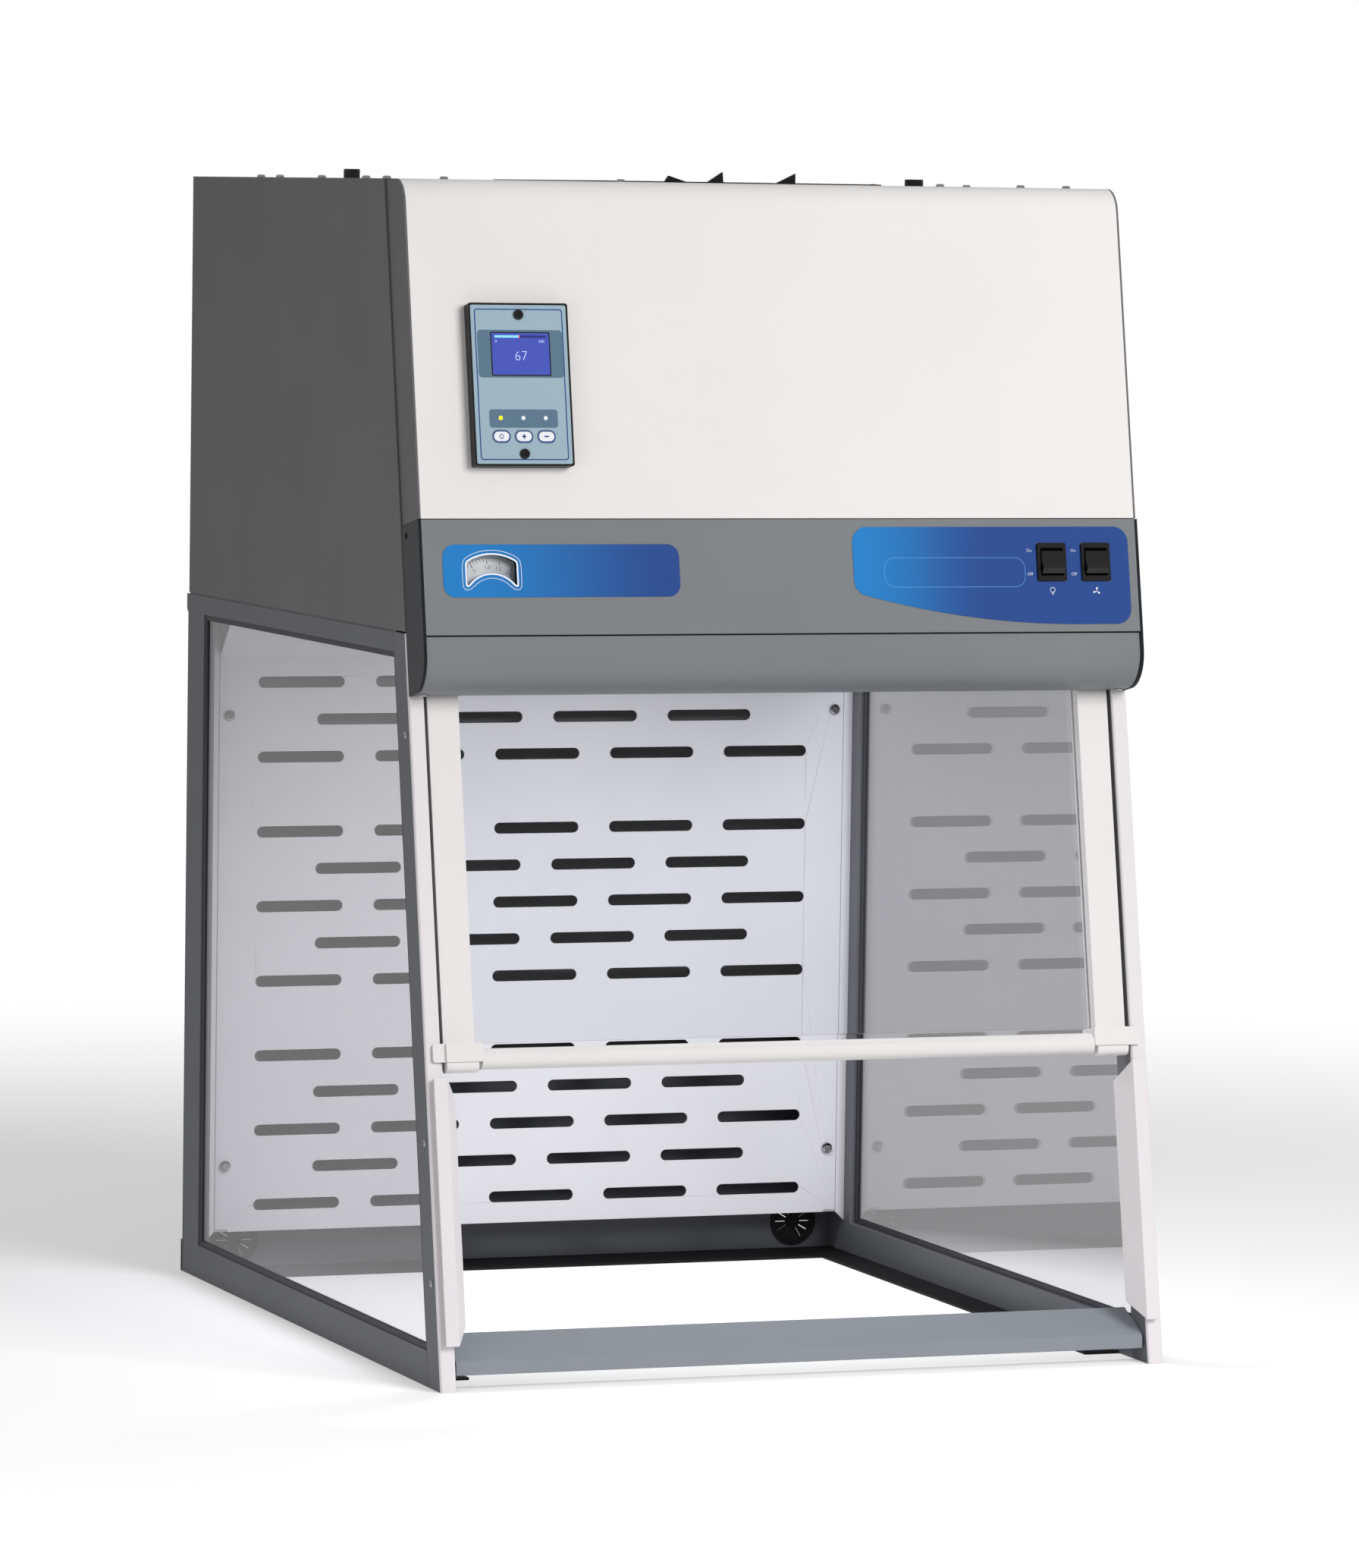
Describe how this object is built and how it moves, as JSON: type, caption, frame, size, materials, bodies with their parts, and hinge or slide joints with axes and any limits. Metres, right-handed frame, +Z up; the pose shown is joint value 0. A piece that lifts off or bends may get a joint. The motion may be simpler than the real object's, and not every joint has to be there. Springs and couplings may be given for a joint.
{
  "type": "balance enclosure",
  "caption": "Bench enclosure for a weighing balance: leaning glazed chamber with a lifting front sash, open base and a fan and filter housing above",
  "frame": {"origin": "middle of the footprint on the bench, below the middle of the overall box", "axes": "+Z up, the open front faces -Y, +X to the user's right"},
  "size_m": [0.6126, 0.71, 0.947],
  "materials": {
    "frame_grey": "dark grey satin powder coat",
    "rail_grey": "mid grey satin paint",
    "panel_grey": "grey fine-textured powder coat",
    "white_paint": "white satin powder coat",
    "pale_paint": "pale grey satin powder coat",
    "tinted_glass": "lightly tinted clear pane",
    "sash_glass": "clear polished pane",
    "black_rubber": "matt black",
    "white_plastic": "warm white moulded plastic",
    "dark_plastic": "dark blue-black moulded plastic",
    "black_plastic": "glossy black moulded plastic",
    "label_blue": "blue printed overlay",
    "monitor_blue": "pale blue-grey paint",
    "bright_steel": "bright steel",
    "black_steel": "black oxide",
    "zinc_sheet": "plain mill sheet",
    "filter_board": "white pleated medium in a board frame",
    "tube_white": "white frosted tube",
    "needle_black": "matt black"
  },
  "bodies": {
    "cabinet": {"back_panel": "pale_paint", "base_seal": "black_rubber", "black_fasteners": "black_steel", "bumper": "panel_grey", "cabinet_back": "frame_grey", "cabinet_top": "frame_grey", "control_panel": "panel_grey", "cord_port_grommets": "black_rubber", "exhaust_grille": "dark_plastic", "fan_motor": "black_steel", "fan_plate": "zinc_sheet", "front_cover": "white_paint", "front_sill": "rail_grey", "gauge_case": "black_plastic", "gauge_label": "label_blue", "hepa_filter": "filter_board", "lamp_fitting": "zinc_sheet", "lamp_tubes": "tube_white", "left_cabinet_side": "frame_grey", "left_corner_trim": "white_paint", "left_cover_cheek": "frame_grey", "left_end_cap": "dark_plastic", "left_front_trim": "white_paint", "left_glazing_gasket": "black_rubber", "left_side_airfoil": "white_paint", "left_side_frame": "frame_grey", "left_side_glass": "tinted_glass", "monitor_case": "black_plastic", "monitor_face": "monitor_blue", "plenum_floor": "pale_paint", "power_inlet": "black_plastic", "rear_baffle": "pale_paint", "rear_top_rail": "rail_grey", "right_cabinet_side": "frame_grey", "right_corner_trim": "white_paint", "right_cover_cheek": "frame_grey", "right_end_cap": "dark_plastic", "right_front_trim": "white_paint", "right_glazing_gasket": "black_rubber", "right_side_airfoil": "white_paint", "right_side_frame": "frame_grey", "right_side_glass": "tinted_glass", "sash_pocket_wall": "pale_paint", "steel_screws": "bright_steel", "switch_bodies": "black_plastic", "switch_label": "label_blue"},
    "sash": {"sash_glass": "sash_glass", "left_sash_stile": "white_plastic", "right_sash_stile": "white_plastic", "left_sash_bracket": "white_plastic", "right_sash_bracket": "white_plastic", "sash_handle": "white_plastic"},
    "light_switch": {"light_rocker": "black_plastic"},
    "blower_switch": {"blower_rocker": "black_plastic"},
    "enter_key": {"enter_button": "white_plastic"},
    "plus_key": {"plus_button": "white_plastic"},
    "minus_key": {"minus_button": "white_plastic"},
    "pointer": {"gauge_needle": "needle_black"},
    "rotor": {"impeller": "zinc_sheet", "motor_shaft": "bright_steel"}
  },
  "joints": [
    {"name": "sash_slide", "type": "slide", "parent": "cabinet", "child": "sash", "axis": [0, 0.1867, 0.9824], "range_m": [0, 0.262]},
    {"name": "light_rocker_tilt", "type": "hinge", "parent": "cabinet", "child": "light_switch", "pos_m": [0.2275, -0.27538, 0.63856], "axis": [1, 0, 0], "range_deg": [0, 24]},
    {"name": "blower_rocker_tilt", "type": "hinge", "parent": "cabinet", "child": "blower_switch", "pos_m": [0.2657, -0.27538, 0.63856], "axis": [1, 0, 0], "range_deg": [0, 24]},
    {"name": "pointer_turn", "type": "hinge", "parent": "cabinet", "child": "pointer", "pos_m": [-0.2459, -0.27735, 0.60677], "axis": [0, 0.9824, -0.1867], "range_deg": [0, 100], "stiffness_Nm_per_rad": 0.0002, "springref_deg": -17.19},
    {"name": "rotor_spin", "type": "hinge", "parent": "cabinet", "child": "rotor", "pos_m": [0, 0.105, 0.82], "axis": [0, 0, 1], "continuous": true},
    {"name": "enter_press", "type": "slide", "parent": "cabinet", "child": "enter_key", "axis": [0, 0.9824, -0.1867], "range_m": [0, 0.0005], "stiffness_N_per_m": 400, "springref_m": -0.0005},
    {"name": "plus_press", "type": "slide", "parent": "cabinet", "child": "plus_key", "axis": [0, 0.9824, -0.1867], "range_m": [0, 0.0005], "stiffness_N_per_m": 400, "springref_m": -0.0005},
    {"name": "minus_press", "type": "slide", "parent": "cabinet", "child": "minus_key", "axis": [0, 0.9824, -0.1867], "range_m": [0, 0.0005], "stiffness_N_per_m": 400, "springref_m": -0.0005}
  ]
}
